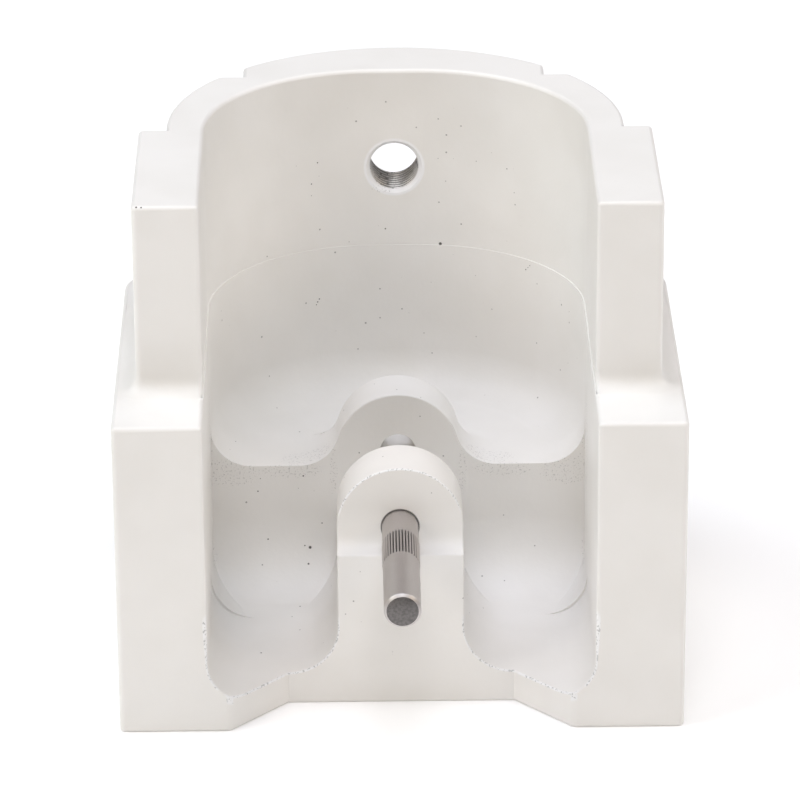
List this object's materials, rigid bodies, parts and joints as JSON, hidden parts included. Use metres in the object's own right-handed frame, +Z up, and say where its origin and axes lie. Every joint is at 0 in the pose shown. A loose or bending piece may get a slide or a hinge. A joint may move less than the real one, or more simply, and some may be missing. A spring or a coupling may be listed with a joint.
{
  "type": "pivot bracket",
  "caption": "White painted machined bracket with a U-shaped cavity, a clevis of drilled ears, a threaded hole in the round back wall and a knurled pivot pin part-way in.",
  "frame": {"origin": "on the underside, at the foot of the upright axis that the round back is turned about", "axes": "+X to the right seen from the open front, +Y towards the round back, so the front faces -Y, and +Z up; X = 0 is the plane of symmetry"},
  "size_m": [0.093, 0.1089, 0.0872],
  "materials": {
    "paint": "satin white powder coat with a fine orange peel and small dark specks",
    "steel": "ground bare steel with a cut knurl"
  },
  "bodies": {
    "bracket": {"bracket": "paint"},
    "pin": {"pin": "steel"}
  },
  "joints": [
    {"name": "pin_slide", "type": "slide", "parent": "bracket", "child": "pin", "axis": [0, 1, 0], "range_m": [-0.012, 0.0312]}
  ]
}
